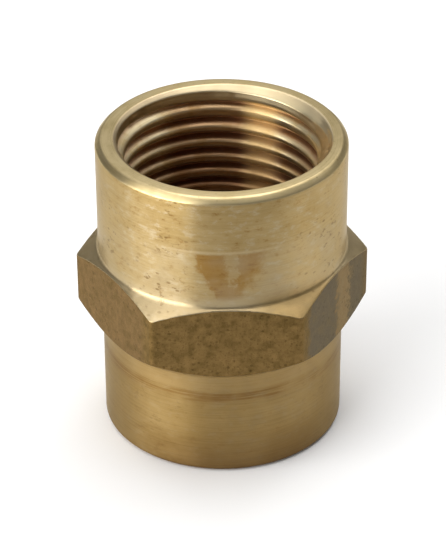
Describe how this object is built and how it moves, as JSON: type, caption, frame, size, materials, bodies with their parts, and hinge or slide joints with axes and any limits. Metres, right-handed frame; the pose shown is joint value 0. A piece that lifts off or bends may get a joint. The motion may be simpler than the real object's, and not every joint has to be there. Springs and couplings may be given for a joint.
{
  "type": "reducing coupling",
  "caption": "Brass pipe reducing coupling: internal tapered pipe threads at both ends, the large end up, with a hexagonal wrench collar round the middle.",
  "frame": {"origin": "centre of the small end's face, which is the bottom centre of the box round the part", "axes": "+Z along the bore towards the large end; +Y and -Y square to two opposite hexagon flats; +X towards a hexagon corner"},
  "size_m": [0.0236, 0.0206, 0.0257],
  "materials": {
    "brass": "satin turned brass with a duller as-drawn skin on the hexagon flats"
  },
  "bodies": {
    "root": {"coupling_body": "brass"}
  },
  "joints": []
}
